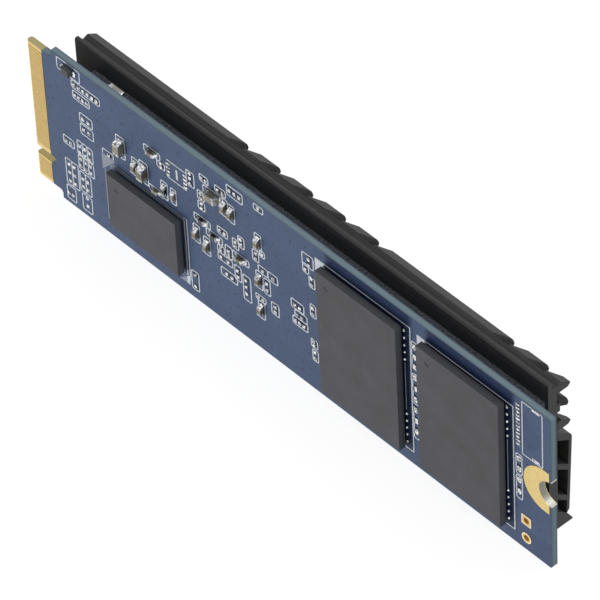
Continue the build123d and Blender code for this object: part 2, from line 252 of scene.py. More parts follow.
shadow_foot = put(
    tree, "ShaderNodeMapRange",
    {
        "Value": spot_parts.outputs["Z"], "From Min": shadow_bottom - shadow_blur,
        "From Max": shadow_bottom + shadow_blur,
    },
)
painted_shadow_share = put(tree, "ShaderNodeMath", {0: shadow_band, 1: shadow_foot}, operation="MULTIPLY")
# The navy mixed in here is painted shadow round the packages.
painted_shadow_blue = put(
    tree, "ShaderNodeMix", {0: painted_shadow_share, 6: mask_blue, 7: colour("#1D2B4A")}, data_type="RGBA",
)
print("dark zones", 2 * shadow_half, "mm wide")

# %% [markdown]
# The mask stops short of the connector tip, so that the contacts lie on bare laminate, which is the
# colour of straw. One comparison with the place along the card tells the two apart.

# %% Bare laminate at the tip
mask_end = -37.55
past_mask = put(tree, "ShaderNodeMath", {0: spot_parts.outputs["X"], 1: mask_end}, operation="LESS_THAN")
face_colour = put(
    tree, "ShaderNodeMix", {0: past_mask, 6: painted_shadow_blue, 7: colour("#F6D790")}, data_type="RGBA",
)
print("bare laminate past", mask_end, "mm from the middle")

# %% [markdown]
# The sawn edges show the layers of glass cloth, paler and greyer than the mask, and a trace of mask along
# both faces. Bands across the thickness give the layers, and the distance from the middle of the board
# gives the trace. Faces and edges are told apart by the way they face.

# %% Sawn edges
layer_pitch, mask_trace, facing_limit = 0.2, 0.7, 0.6
edge_middle, edge_half = (board_low.y + board_high.y) / (2 * mm), board_thickness / 2


def outward(tree):
    """How squarely a surface looks out of the card, from 0 on an edge to 1 on a face."""
    surface = put(tree, "ShaderNodeNewGeometry", {})
    way = put(tree, "ShaderNodeSeparateXYZ", {"Vector": surface.outputs["Normal"]})
    return put(tree, "ShaderNodeMath", {0: way.outputs["Y"]}, operation="ABSOLUTE")


layers = put(
    tree, "ShaderNodeTexWave",
    {"Vector": spot, "Scale": math.pi / (10 * layer_pitch), "Distortion": 0.6, "Detail": 2.0},
    wave_type="BANDS", bands_direction="Y",
)
layer_tone = put(
    tree, "ShaderNodeMix", {0: layers.outputs["Fac"], 6: colour("#8DA3AE"), 7: colour("#A1B7C0")},
    data_type="RGBA",
)
edge_way = put(tree, "ShaderNodeMath", {0: spot_parts.outputs["Y"], 1: edge_middle}, operation="SUBTRACT")
edge_reach = put(tree, "ShaderNodeMath", {0: edge_way}, operation="ABSOLUTE")
overhang = put(
    tree, "ShaderNodeMapRange",
    {
        "Value": edge_reach, "From Min": 0.4 * edge_half, "From Max": edge_half, "To Min": 0.0,
        "To Max": mask_trace,
    },
)
edge_tone = put(tree, "ShaderNodeMix", {0: overhang, 6: layer_tone, 7: colour("#5F738A")}, data_type="RGBA")
edge_colour = put(
    tree, "ShaderNodeMix", {0: past_mask, 6: edge_tone, 7: colour("#EBDDA2")}, data_type="RGBA",
)
on_face = put(tree, "ShaderNodeMath", {0: outward(tree), 1: facing_limit}, operation="GREATER_THAN")
print("laminate layers every", layer_pitch, "mm")

# %% [markdown]
# The wall of the fixing notch is plated, and its colour grows brighter towards its mouth: a painted
# highlight. The wall is found by its distance from the notch's axis.

# %% Plated notch
notch_x, notch_z, notch_reach = 40.0, 11.0, 1.9
highlight_start, highlight_end = 38.6, 39.9
flat_spot = put(tree, "ShaderNodeCombineXYZ", {"X": spot_parts.outputs["X"], "Z": spot_parts.outputs["Z"]})
notch_way = put(
    tree, "ShaderNodeVectorMath", {0: flat_spot, 1: (notch_x, 0, notch_z)}, operation="DISTANCE",
)
near_notch = put(tree, "ShaderNodeMath", {0: notch_way, 1: notch_reach}, operation="LESS_THAN")
plated = put(tree, "ShaderNodeMath", {0: near_notch, 1: on_face}, operation="SUBTRACT", use_clamp=True)
painted_highlight_share = put(
    tree, "ShaderNodeMapRange",
    {"Value": spot_parts.outputs["X"], "From Min": highlight_start, "From Max": highlight_end},
)
# The dark to bright plating tone is a painted highlight.
plating_tone = put(
    tree, "ShaderNodeMix", {0: painted_highlight_share, 6: colour("#84837A"), 7: colour("#DADAD2")}, data_type="RGBA",
)
print("plating within", notch_reach, "mm of the notch's axis")

# %% [markdown]
# The last nodes of the board choose between face, edge and plating, for the colour and for the gloss. In
# the relief the tracks stand up a little under the mask, and the vias dip.

# %% The board's finish
edge_or_plating = put(tree, "ShaderNodeMix", {0: plated, 6: edge_colour, 7: plating_tone}, data_type="RGBA")
board_colour = put(
    tree, "ShaderNodeMix", {0: on_face, 6: edge_or_plating, 7: face_colour}, data_type="RGBA",
)
mask_rough, edge_rough, plating_rough = 0.4, 0.65, 0.42
wall_rough = put(
    tree, "ShaderNodeMapRange", {"Value": plated, "To Min": edge_rough, "To Max": plating_rough},
)
board_rough = put(tree, "ShaderNodeMix", {0: on_face, 2: wall_rough, 3: mask_rough}, data_type="FLOAT")
relief = put(tree, "ShaderNodeMath", {0: track_line, 1: via_dot}, operation="SUBTRACT")
bump = put(tree, "ShaderNodeBump", {"Height": relief, "Strength": 0.25, "Distance": 0.02 * mm})
fill(
    tree, shader,
    {"Base Color": board_colour, "Metallic": plated, "Roughness": board_rough, "Normal": bump},
)
dress(mask, "circuit_board")

# %% [markdown]
# ## Gold plating
#
# The contacts and the screw pad are copper with nickel and a thin skin of gold. Gold is a metal, so its
# colour is in its reflections. It is satin, with fine rub marks along the card and a faint unevenness
# where the plating is thicker. The hard gold of the contacts is a little darker than the soft gold of
# the screw pad, and the drilled holes have a tone of their own, so one function makes them all.

# %% Satin gold
cloud_size, pit_spacing, rub_length, rub_width = 0.7, 0.9, 2.5, 0.11


def drift(tree, spot, size, dull, bright):
    """A tone that drifts between two colours, in clouds of one size."""
    clouds = put(tree, "ShaderNodeTexNoise", {"Vector": spot, "Scale": 1 / size, "Detail": 3.0})
    return put(tree, "ShaderNodeMix", {0: clouds, 6: colour(dull), 7: colour(bright)}, data_type="RGBA")


def satin_gold(name, dull, bright):
    """Gold plating that drifts between two tones, with a few pits and rub marks."""
    material, tree, shader, spot = start_material(name, {"Metallic": 1.0})
    tone = drift(tree, spot, cloud_size, dull, bright)
    pits = put(tree, "ShaderNodeTexVoronoi", {"Vector": spot, "Scale": 1 / pit_spacing}, feature="F1")
    pit = put(
        tree, "ShaderNodeMapRange",
        {"Value": pits, "From Min": 0.05, "From Max": 0.09, "To Min": 0.5, "To Max": 0.0},
    )
    pitted = put(tree, "ShaderNodeMix", {0: pit, 6: tone, 7: colour("#9A7430")}, data_type="RGBA")
    rub = put(
        tree, "ShaderNodeMapping",
        {"Vector": spot, "Scale": (1 / rub_length, 1 / rub_width, 1 / rub_width)},
    )
    rubbed = put(tree, "ShaderNodeTexNoise", {"Vector": rub, "Scale": 1.0, "Detail": 3.0})
    dullness = put(tree, "ShaderNodeMapRange", {"Value": rubbed, "To Min": 0.28, "To Max": 0.5})
    fill(tree, shader, {"Base Color": pitted, "Roughness": dullness})
    return material


dress(satin_gold("hard_gold_plating", "#C5A665", "#D5B978"), "edge_contacts_front", "edge_contacts_rear")
dress(satin_gold("soft_gold_plating", "#D8BB74", "#EDD796"), "screw_pad_front", "screw_pad_rear")
dress(satin_gold("gold_in_drilled_holes", "#D2AA5A", "#E8C57E"), "square_plated_hole", "round_plated_hole")

# %% [markdown]
# ## Moulded packages
#
# Memory chips are moulded in black epoxy filled with fine silica. The mould leaves an even satin grain,
# which under soft light looks dark grey. A fine noise gives the grain and a broad one a faint haze.

# %% Epoxy mould compound
grain_size, haze_size = 0.16, 20 / 7
epoxy, tree, shader, spot = start_material(
    "epoxy_mould_compound", {"IOR": 1.5, "Roughness": 0.55, "Specular IOR Level": 0.15},
)
grain = put(
    tree, "ShaderNodeTexNoise", {"Vector": spot, "Scale": 1 / grain_size, "Detail": 3.0, "Roughness": 0.7},
)
haze = put(tree, "ShaderNodeTexNoise", {"Vector": spot, "Scale": 1 / haze_size, "Detail": 2.0})
haze_share = put(tree, "ShaderNodeMapRange", {"Value": haze, "From Min": noise_low, "From Max": noise_high})
epoxy_tone = put(
    tree, "ShaderNodeMix", {0: haze_share, 6: colour("#525256"), 7: colour("#5A5A5F")}, data_type="RGBA",
)
epoxy_grain = speckle(tree, epoxy_tone, grain, darkest=0.88, lightest=1.1)
print("mould grain", grain_size, "mm")

# %% [markdown]
# The sides of a package are painted a little paler than its face: painted light, for the light the side
# walls catch. Its lower quarter of a millimetre is not mould compound but a thin laminate carrier, a little
# greener, so the material changes with the distance from the board, on both of its faces.

# %% Paler painted sides and the laminate carrier
carrier_height, side_limit = 0.47, 0.5
front_y, rear_y = board_low.y / mm, board_high.y / mm
spot_parts = put(tree, "ShaderNodeSeparateXYZ", {"Vector": spot})
above_front = put(
    tree, "ShaderNodeMath", {0: spot_parts.outputs["Y"], 1: front_y - carrier_height},
    operation="GREATER_THAN",
)
below_rear = put(
    tree, "ShaderNodeMath", {0: spot_parts.outputs["Y"], 1: rear_y + carrier_height}, operation="LESS_THAN",
)
carrier = put(tree, "ShaderNodeMath", {0: above_front, 1: below_rear}, operation="MULTIPLY")
# Paler side walls are painted light.
painted_side_light = put(tree, "ShaderNodeMath", {0: outward(tree), 1: side_limit}, operation="LESS_THAN")
mould_colour = put(tree, "ShaderNodeMix", {0: painted_side_light, 6: epoxy_grain, 7: colour("#6A6C71")}, data_type="RGBA")
package_colour = put(
    tree, "ShaderNodeMix", {0: carrier, 6: mould_colour, 7: colour("#5E6468")}, data_type="RGBA",
)
grain_bump = put(tree, "ShaderNodeBump", {"Height": grain, "Strength": 0.3, "Distance": 0.02 * mm})
fill(tree, shader, {"Base Color": package_colour, "Normal": grain_bump})
dress(
    epoxy, "dram_front", "dram_rear", "nand_front_1", "nand_front_2", "nand_rear_1", "nand_rear_2",
    "controller", "power_chip", "diode",
)

# %% [markdown]
# ## Tin and solder
#
# The bare pads carry reflowed solder, which sets bright and wavy. The ends of the chip parts are plated
# with tin, which is duller and greyer. Both are the same recipe: a metal with a noise that changes its
# tone, its roughness and its height together. Its tone is partly real dull patches and partly painted
# light: near-white painted glints on the crests and painted dark reflections in the hollows.

# %% Reflowed solder and tin plating
wave_size = 0.25


def tinned(name, dull, bright, smooth, rough):
    """Wavy tin, from dull and rough hollows to smooth crests, its colour partly dull patches and partly
    painted glints.
    """
    material, tree, shader, spot = start_material(name, {"Metallic": 1.0})
    waves = put(tree, "ShaderNodeTexNoise", {"Vector": spot, "Scale": 1 / wave_size, "Detail": 2.0})
    glint_share = put(tree, "ShaderNodeMapRange", {"Value": waves, "From Min": 0.35, "From Max": 0.65})
    # Near-white crests are painted glints, and the dull hollows are partly painted reflection.
    tone = put(tree, "ShaderNodeMix", {0: glint_share, 6: colour(dull), 7: colour(bright)}, data_type="RGBA")
    dullness = put(tree, "ShaderNodeMapRange", {"Value": glint_share, "To Min": rough, "To Max": smooth})
    bump = put(tree, "ShaderNodeBump", {"Height": waves, "Strength": 0.4, "Distance": 0.05 * mm})
    fill(tree, shader, {"Base Color": tone, "Roughness": dullness, "Normal": bump})
    return material


tin = tinned("reflowed_tin", "#767A80", "#FCFCFD", smooth=0.15, rough=0.32)
dress(
    tin, "bare_pads", "chip_pads", "socket_pads", "ball_pads", "solder_joints_front", "solder_joints_rear",
)
dress(
    tinned("tin_plating", "#868686", "#D0D0CE", smooth=0.3, rough=0.5),
    "large_capacitor_ends", "medium_capacitor_ends", "small_capacitor_ends", "resistor_ends",
    "rear_capacitor_ends", "inductor_ends", "diode_leads",
)

# %% [markdown]
# ## Ceramic bodies
#
# Chip capacitors are little bricks of fired ceramic. Their colour depends on the batch: some are tan,
# some brown, some olive. A noise with large cells gives each brick its own tone, because a brick is
# smaller than a cell. Chip resistors carry a black glaze, and coils sit in grey ferrite.

# %% Fired ceramics
fired_grain = 1 / 9


def fired_ceramic(name, dark, light, cell_size, roughness):
    """Ceramic whose tone changes from part to part, with a fine fired grain."""
    material, tree, shader, spot = start_material(name, {"Roughness": roughness})
    batch = put(tree, "ShaderNodeTexVoronoi", {"Vector": spot, "Scale": 1 / cell_size}, feature="F1")
    batch_pick = put(tree, "ShaderNodeSeparateColor", {"Color": batch.outputs["Color"]})
    tone = put(
        tree, "ShaderNodeMix", {0: batch_pick.outputs["Red"], 6: colour(dark), 7: colour(light)},
        data_type="RGBA",
    )
    fired = put(tree, "ShaderNodeTexNoise", {"Vector": spot, "Scale": 1 / fired_grain, "Detail": 3.0})
    fill(tree, shader, {"Base Color": speckle(tree, tone, fired, darkest=0.85, lightest=1.12)})
    return material


for solids, name, dark, light, cell_size, roughness in (
    ("large_capacitor_bodies", "tan_fired_ceramic", "#6E6A5C", "#9A9582", 3.0, 0.45),
    ("medium_capacitor_bodies", "brown_fired_ceramic", "#564D42", "#918570", 2.2, 0.45),
    ("small_capacitor_bodies", "beige_fired_ceramic", "#7C7565", "#AAA08C", 2.2, 0.45),
    ("rear_capacitor_bodies", "white_fired_ceramic", "#C2BDB4", "#DAD7D0", 2.6, 0.45),
    ("resistor_bodies", "black_glazed_ceramic", "#17171A", "#26262A", 2.0, 0.25),
    ("inductor_bodies", "grey_ferrite", "#3A3B3E", "#47484B", 2.0, 0.6),
):
    dress(fired_ceramic(name, dark, light, cell_size, roughness), solids)

# %% [markdown]
# ## Thermal pad and heatsink
#
# The thermal pad is soft silicone loaded with ceramic powder: matt, bluish grey and speckled. A rough
# noise with much detail makes clumps and single grains at once.

# %% Filled silicone
powder_clump = 2 / 7
silicone, tree, shader, spot = start_material(
    "filled_silicone", {"Roughness": 0.8, "Specular IOR Level": 0.2},
)
powder = put(
    tree, "ShaderNodeTexNoise",
    {"Vector": spot, "Scale": 1 / powder_clump, "Detail": 5.0, "Roughness": 0.7},
)
powder_share = put(tree, "ShaderNodeMapRange", {"Value": powder, "From Min": 0.35, "From Max": 0.72})
silicone_tone = put(
    tree, "ShaderNodeMix", {0: powder_share, 6: colour("#585D66"), 7: colour("#A8AEB8")}, data_type="RGBA",
)
fill(tree, shader, {"Base Color": silicone_tone})
dress(silicone, "thermal_pad")

# %% [markdown]
# The heatsink is extruded aluminium, cut and then anodised black. The dye is near black, but the drawn
# surface under it still has fine lines along its length, and they catch the light as streaks. A noise
# stretched along the heatsink draws them.

# %% Black anodised aluminium
draw_line, draw_length = 0.15, 22.0
anodised, tree, shader, spot = start_material(
    "black_anodised_aluminium", {"IOR": 1.6, "Specular IOR Level": 0.12},
)
drawn = put(
    tree, "ShaderNodeMapping", {"Vector": spot, "Scale": (1 / draw_length, 1 / draw_line, 1 / draw_line)},
)
lines = put(tree, "ShaderNodeTexNoise", {"Vector": drawn, "Scale": 1.0, "Detail": 3.0})
line_share = put(tree, "ShaderNodeMapRange", {"Value": lines, "From Min": 0.38, "From Max": 0.64})
black_tone = put(
    tree, "ShaderNodeMix", {0: line_share, 6: colour("#444445"), 7: colour("#575758")}, data_type="RGBA",
)
black_rough = put(tree, "ShaderNodeMapRange", {"Value": lines, "To Min": 0.38, "To Max": 0.58})
line_bump = put(tree, "ShaderNodeBump", {"Height": lines, "Strength": 0.16, "Distance": 0.02 * mm})
fill(tree, shader, {"Base Color": black_tone, "Roughness": black_rough, "Normal": line_bump})
dress(anodised, "heatsink")

# %% [markdown]
# ## Making a piece
#
# New pieces start as a bmesh drawn in card space. One function turns the drawing into place, makes the
# object, lets it ride on the drive and says how many faces it has. Shapes that repeat are drawn once as
# a stencil and stamped: the stencil's mesh is added to the drawing, and only the new vertices are moved.

# %% Helpers for pieces
def make_piece(name, shape, material, smooth=False):
    """Turn a bmesh drawn in card space into a piece of the drive."""
    bmesh.ops.recalc_face_normals(shape, faces=shape.faces)
    shape.transform(card)
    mesh = bpy.data.meshes.new(name)
    shape.to_mesh(mesh)
    shape.free()
    mesh.materials.append(material)
    for polygon in mesh.polygons:
        polygon.use_smooth = smooth
    piece = bpy.data.objects.new(name, mesh)
    bpy.context.scene.collection.objects.link(piece)
    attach(piece, "root")
    print(name, "has", len(mesh.polygons), "faces")
    return piece


def make_stencil(name, shape):
    """Keep a small bmesh as a mesh that can be stamped many times."""
    stencil = bpy.data.meshes.new(name)
    shape.to_mesh(stencil)
    shape.free()
    return stencil


def stamp(shape, stencil, matrices):
    """Add one copy of a stencil for each matrix."""
    for matrix in matrices:
        first = len(shape.verts)
        shape.from_mesh(stencil)
        shape.verts.ensure_lookup_table()
        bmesh.ops.transform(shape, matrix=matrix, verts=shape.verts[first:])


def stamps_at(places, lift, size=Matrix()):
    """One matrix for each place on the card, at one height over the board and one size."""
    return [Matrix.Translation((x, z, lift)) @ size for x, z in places]


def merge(shape, part):
    """Move one drawing into another."""
    stencil = make_stencil("part", part)
    shape.from_mesh(stencil)
    bpy.data.meshes.remove(stencil)


# %% [markdown]
# ## Laminate between the contacts
#
# The gold contacts are not laid on the tab but almost let into it: the laminate between them stands nearly
# as high as the gold. One strip is stamped into every gap. Contacts are numbered across both faces, odd
# ones in front and even ones behind, and some are left out where the key slot is cut.

# %% Strips in the gaps
strip_length, strip_width, strip_height = 2.1, 0.15, 0.03
contact_x, middle_z, number_pitch = 1.4, 11.0, 0.25
last_contact, keyed = 75, range(59, 67)
middle_number = (last_contact + 1) / 2
straw, tree, shader, spot = start_material(
    "bare_glass_epoxy", {"Roughness": 0.6, "Specular IOR Level": 0.12},
)
fill(tree, shader, {"Base Color": drift(tree, spot, weave_size, "#CDAF70", "#DBC086")})
strip = bmesh.new()
bmesh.ops.create_cube(strip, size=1)
bmesh.ops.scale(strip, verts=strip.verts, vec=(strip_length, strip_width, strip_height))
strip_stencil = make_stencil("laminate_strip", strip)
strips = bmesh.new()
for first, lift in ((1, strip_height / 2), (2, -board_thickness - strip_height / 2)):
    fitted = [number for number in range(first, last_contact + 1, 2) if number not in keyed]
    gaps = [number + 1 for number in fitted if number + 2 in fitted]
    gap_places = [(contact_x, middle_z - (gap - middle_number) * number_pitch) for gap in gaps]
    stamp(strips, strip_stencil, stamps_at(gap_places, lift))
make_piece("contact_gap_laminate", strips, straw)

# %% [markdown]
# ## Silkscreen ink
#
# Pale ink frames the place of every part. It is matt paint pressed through a screen, so its tone is a
# little uneven. Round the smaller memory package it was printed thinly and lets the blue through.

# %% Screen-printed ink
ink_grain = 0.25
thin_middle, thin_half, thin_top = -22.1, 6.5, 12.1
ink, tree, shader, spot = start_material("pale_screen_printed_ink", {"Roughness": 0.7})
ink_tone = drift(tree, spot, ink_grain, "#C2CCD8", "#F0F3F6")
spot_parts = put(tree, "ShaderNodeSeparateXYZ", {"Vector": spot})
thin_band = put(
    tree, "ShaderNodeMath", {0: spot_parts.outputs["X"], 1: thin_middle, 2: thin_half}, operation="COMPARE",
)
thin_below = put(tree, "ShaderNodeMath", {0: spot_parts.outputs["Z"], 1: thin_top}, operation="LESS_THAN")
thin_print = put(tree, "ShaderNodeMath", {0: thin_band, 1: thin_below}, operation="MULTIPLY")
printed_tone = put(
    tree, "ShaderNodeMix", {0: thin_print, 6: ink_tone, 7: colour("#959CA7")}, data_type="RGBA",
)
fill(tree, shader, {"Base Color": printed_tone})
print("ink is thin below", thin_top, "mm")

# %% [markdown]
# ## Silkscreen frames
#
# A frame could be a curve with a bevel, but one face is simpler: stretch it to the outline, bevel its four
# corners round, inset it by the width of the line, delete the middle and extrude the ring by the thickness
# of the ink. A real line is about 0.12 mm wide, and these are drawn a little wider so that they show.

# %% One rounded frame
ink_line, ink_height, ink_step = 0.15, 0.02, 0.002


def lay_ink(shape, level):
    """Give flat faces the thickness of the ink, a hair more at each level."""
    raised = bmesh.ops.extrude_face_region(shape, geom=shape.faces[:])["geom"]
    tops = [item for item in raised if isinstance(item, bmesh.types.BMVert)]
    bmesh.ops.translate(shape, verts=tops, vec=(0, 0, ink_height + level * ink_step))


def add_frame(shape, left, right, bottom, top, radius, level):
    """Add one rounded frame of ink, given its outer edges."""
    ring = bmesh.new()
    bmesh.ops.create_grid(ring, x_segments=1, y_segments=1, size=0.5)
    bmesh.ops.scale(ring, verts=ring.verts, vec=(right - left, top - bottom, 1))
    bmesh.ops.translate(ring, verts=ring.verts, vec=((left + right) / 2, (bottom + top) / 2, 0))
    bmesh.ops.bevel(
        ring, geom=ring.verts[:], offset=radius, affect="VERTICES", segments=3, profile=0.5, material=-1,
    )
    middle = ring.faces[:]
    bmesh.ops.inset_region(ring, faces=middle, thickness=ink_line, use_even_offset=True, use_boundary=True)
    bmesh.ops.delete(ring, geom=middle, context="FACES")
    lay_ink(ring, level)
    merge(shape, ring)


print("ink line", ink_line, "mm wide")

# %% [markdown]
# Frames differ only in their four edges, so they are a table: left, right, bottom and top, read along
# the card and up it. The big frames belong to the memory packages, the small ones to chip parts,
# fitted or not. Lines that cross get different levels, because two faces in one plane render black.

# %% All the frames
package_corner, footprint_corner = 0.12, 0.3
package_level, footprint_level, chip_level, mark_level = 0, 1, 5, 8
package_frames = [
    (45.35, 59.65, 1.75, 20.4), (60.6, 74.7, 1.7, 20.15), (11.7, 25.0, 2.2, 11.4),
    (12.7, 24.6, 2.65, 11.05), (75.85, 78.9, 14.05, 21.85),
]
footprint_frames = [
    (59.7, 60.6, 14.6, 18.7), (59.7, 60.6, 9.4, 14.0), (59.7, 60.6, 4.2, 9.0), (74.9, 75.9, 10.6, 13.7),
    (74.9, 75.9, 7.0, 10.5), (31.8, 34.4, 20.0, 21.6), (36.0, 37.6, 20.8, 21.8),
    (27.5, 29.0, 19.05, 20.2), (29.9, 31.7, 19.05, 20.2), (27.0, 28.2, 16.05, 17.5),
    (27.0, 28.2, 14.6, 15.95), (25.35, 26.7, 17.0, 19.3), (20.6, 22.0, 16.35, 17.4),
    (29.9, 31.6, 13.0, 14.2), (32.25, 33.35, 12.55, 14.1), (33.15, 34.25, 13.3, 15.05),
    (30.1, 32.8, 6.95, 8.3), (32.35, 33.5, 7.85, 10.2), (33.6, 34.95, 5.8, 9.65),
    (29.75, 32.2, 9.1, 10.25), (29.75, 30.95, 10.15, 11.4), (31.0, 32.25, 10.3, 12.2),
    (36.95, 38.1, 9.1, 11.5), (36.2, 37.8, 11.7, 12.9), (37.7, 39.35, 11.6, 12.95),
    (35.55, 37.25, 7.3, 8.25), (35.4, 36.5, 12.95, 14.7), (36.55, 37.45, 14.2, 15.3),
    (38.0, 39.3, 6.8, 8.7), (41.2, 43.3, 10.2, 11.6), (41.35, 43.8, 7.85, 9.15),
    (41.7, 43.75, 9.0, 10.25), (43.3, 45.15, 18.0, 19.95), (43.35, 44.4, 16.95, 18.4),
    (44.2, 45.2, 10.9, 12.9), (44.25, 45.25, 15.3, 17.0), (44.1, 45.2, 6.3, 7.65),
    (44.25, 45.25, 4.35, 6.2), (25.1, 26.4, 1.3, 4.2), (11.5, 13.4, 11.9, 12.9),
    (7.1, 11.8, 18.75, 20.0), (7.2, 10.0, 17.2, 18.5), (8.05, 10.25, 14.3, 15.8),
    (8.05, 10.25, 12.55, 14.2), (4.9, 6.8, 9.1, 10.4), (7.2, 8.17, 8.9, 11.15),
    (8.03, 8.97, 8.9, 11.15), (8.83, 9.85, 8.9, 11.15), (7.2, 8.17, 6.7, 8.95), (8.03, 8.97, 6.7, 8.95),
    (8.83, 9.85, 6.7, 8.95), (4.9, 6.07, 2.95, 6.95), (5.93, 7.1, 2.95, 6.95), (7.2, 8.27, 3.4, 6.5),
    (8.13, 9.15, 3.4, 6.5), (7.35, 9.05, 0.7, 3.25), (4.75, 6.35, 0.6, 2.8), (4.9, 8.7, 20.05, 21.85),
]
silkscreen = bmesh.new()
for edges in package_frames:
    add_frame(silkscreen, *edges, package_corner, package_level)
for index, edges in enumerate(footprint_frames):
    level = footprint_level + index % (chip_level - footprint_level)
    add_frame(silkscreen, *edges, footprint_corner, level)
print("drew", len(package_frames) + len(footprint_frames), "frames")

# %% [markdown]
# Each fitted chip part stands in a frame of its own, a little larger than the part with its solder.
# Those frames follow from the parts' places, so the places are listed once, by size and by whether the
# part stands up the card or lies along it. They will also say where the solder goes.

# %% Frames of the fitted chip parts
chip_sizes = {
    "large": (1.65, 0.95, 0.8), "medium": (1.1, 0.6, 0.55), "small": (0.8, 0.45, 0.4),
    "resistor": (1.1, 0.6, 0.4), "rear": (2.0, 1.25, 0.95), "inductor": (2.5, 2.0, 1.0),
}
front_upright = {
    "large": [(14.7, 15.0), (18.35, 13.75)],
    "medium": [
        (16.95, 13.6), (31.35, 17.65), (32.4, 17.45), (26.5, 10.45), (28.1, 9.65),
        (36.45, 16.1), (36.35, 10.5), (36.45, 6.1),
    ],
    "small": [(23.05, 13.45)],
    "resistor": [(21.6, 13.4)],
}
front_level = {
    "large": [(29.6, 18.15)],
    "medium": [(19.95, 17.85), (33.5, 11.6)],
    "small": [(20.2, 12.3)],
    "resistor": [(27.55, 13.05), (29.4, 12.0)],
}
frame_sides, frame_ends = 0.28, 0.8
for upright, places in ((True, front_upright), (False, front_level)):
    for kind, spots in places.items():
        length, width = chip_sizes[kind][:2]
        half_long, half_wide = length / 2 + frame_ends, width / 2 + frame_sides
        reach_x, reach_z = (half_wide, half_long) if upright else (half_long, half_wide)
        for index, (x, z) in enumerate(spots):
            edges = x - reach_x, x + reach_x, z - reach_z, z + reach_z
            level = chip_level + index % (mark_level - chip_level)
            add_frame(silkscreen, *edges, footprint_corner, level)
print("silkscreen so far", len(silkscreen.faces), "faces")

# %% [markdown]
# Filled triangles mark the first corner of a package, and short bars mark which way a small chip goes
# round. They are single faces laid as ink in the same way.

# %% Corner marks and bars
marks = bmesh.new()
corner_marks = [
    [(45.5, 20.25), (46.9, 20.25), (45.5, 18.7)],
    [(60.75, 20.0), (62.1, 20.0), (60.75, 18.75)],
    [(11.4, 12.0), (13.6, 12.0), (11.4, 9.6)],
    [(24.85, 1.5), (24.85, 2.9), (23.2, 1.5)],
    [(22.35, 18.42), (25.35, 18.42), (25.35, 18.56), (22.35, 18.56)],
    [(22.35, 15.88), (25.35, 15.88), (25.35, 16.02), (22.35, 16.02)],
    [(23.72, 16.5), (24.0, 16.5), (24.0, 17.9), (23.72, 17.9)],
    [(58.64, 7.6), (58.72, 7.6), (58.72, 14.6), (58.64, 14.6)],
    [(73.69, 7.2), (73.77, 7.2), (73.77, 14.6), (73.69, 14.6)],
]
for corners in corner_marks:
    marks.faces.new([marks.verts.new((x, z, 0)) for x, z in corners])
lay_ink(marks, mark_level)
merge(silkscreen, marks)
make_piece("silkscreen_front", silkscreen, ink)

# %% [markdown]
# ## Painted highlight rims on the drilled pads
#
# The two drilled pads get a painted highlight: a bright rim of paler gold round each, standing in for light
# caught on the edge of the plating. A rim is drawn like a frame of ink and lifted to the top of the pad.

# %% Painted highlight rims in pale gold
hole_x, square_z, round_z = 76.35, 4.4, 1.8
pad_half, pad_face = 0.7, 0.04
square_corner, round_corner = 0.12, 0.95 * pad_half
highlight_rims = bmesh.new()
for z, corner in ((square_z, square_corner), (round_z, round_corner)):
    edges = hole_x - pad_half, hole_x + pad_half, z - pad_half, z + pad_half
    add_frame(highlight_rims, *edges, corner, package_level)
bmesh.ops.translate(highlight_rims, verts=highlight_rims.verts, vec=(0, 0, pad_face))
# The pale gold rims are a painted highlight.
make_piece("hole_pad_highlight_rims", highlight_rims, satin_gold("painted_highlight_gold_rim", "#F1E2BE", "#FDF5DF"))

# %% [markdown]
# ## Solder on the bare pads
#
# Pads of parts that were left off still got solder paste, so each carries a little bright pillow. A
# pillow is the upper half of a beveled block. It repeats more than a hundred times, so it has few faces.

# %% One solder pillow
pad_width, pad_rise = 0.44, 0.13


def keep_upper_half(shape):
    """Cut a shape at z = 0 and keep what is above."""
    everything = shape.verts[:] + shape.edges[:] + shape.faces[:]
    bmesh.ops.bisect_plane(shape, geom=everything, plane_co=(0, 0, 0), plane_no=(0, 0, 1), clear_inner=True)


pillow = bmesh.new()
bmesh.ops.create_cube(pillow, size=1)
bmesh.ops.bevel(
    pillow, geom=pillow.edges[:], offset=0.3, affect="EDGES", segments=2, profile=0.5, material=-1,
)
bmesh.ops.scale(pillow, verts=pillow.verts, vec=(pad_width, pad_width, 2 * pad_rise))
keep_upper_half(pillow)
pillow_stencil = make_stencil("solder_pillow", pillow)
print("a pillow has", len(pillow_stencil.polygons), "faces")

# %% [markdown]
# The pads stand in short rows along the card and short columns up it, so a table needs only the middle of
# each, the number of pads and their pitch. The columns beside the two large memory packages are listed
# apart, because their pads are larger.

# %% Rows and columns of pads
def evenly(middle, count, pitch):
    """Values at one pitch, spread evenly about a middle."""
    return [middle + (i - (count - 1) / 2) * pitch for i in range(count)]


pad_rows = [
    (33.1, 20.85, 3, 0.75), (36.8, 21.4, 1, 0.7), (28.25, 19.6, 2, 0.7), (30.8, 19.6, 2, 0.8),
    (30.75, 13.6, 2, 0.7), (31.5, 7.65, 2, 0.85), (37.8, 12.25, 2, 1.6), (42.25, 10.85, 2, 0.75),
    (42.5, 9.5, 2, 0.8), (42.5, 8.5, 3, 0.65), (9.45, 19.35, 6, 0.72), (8.6, 17.85, 4, 0.65),
    (9.1, 15.0, 2, 0.9), (9.1, 13.4, 2, 0.9), (5.8, 9.7, 2, 0.8), (8.5, 10.4, 3, 0.8),
    (8.5, 9.4, 3, 0.8), (8.5, 8.4, 3, 0.8), (8.5, 7.4, 3, 0.8), (6.0, 6.2, 2, 0.8), (6.0, 5.0, 2, 0.8),
    (6.0, 3.7, 2, 0.8), (8.2, 5.5, 2, 0.8), (8.2, 4.3, 2, 0.8), (5.5, 1.6, 2, 0.7),
]
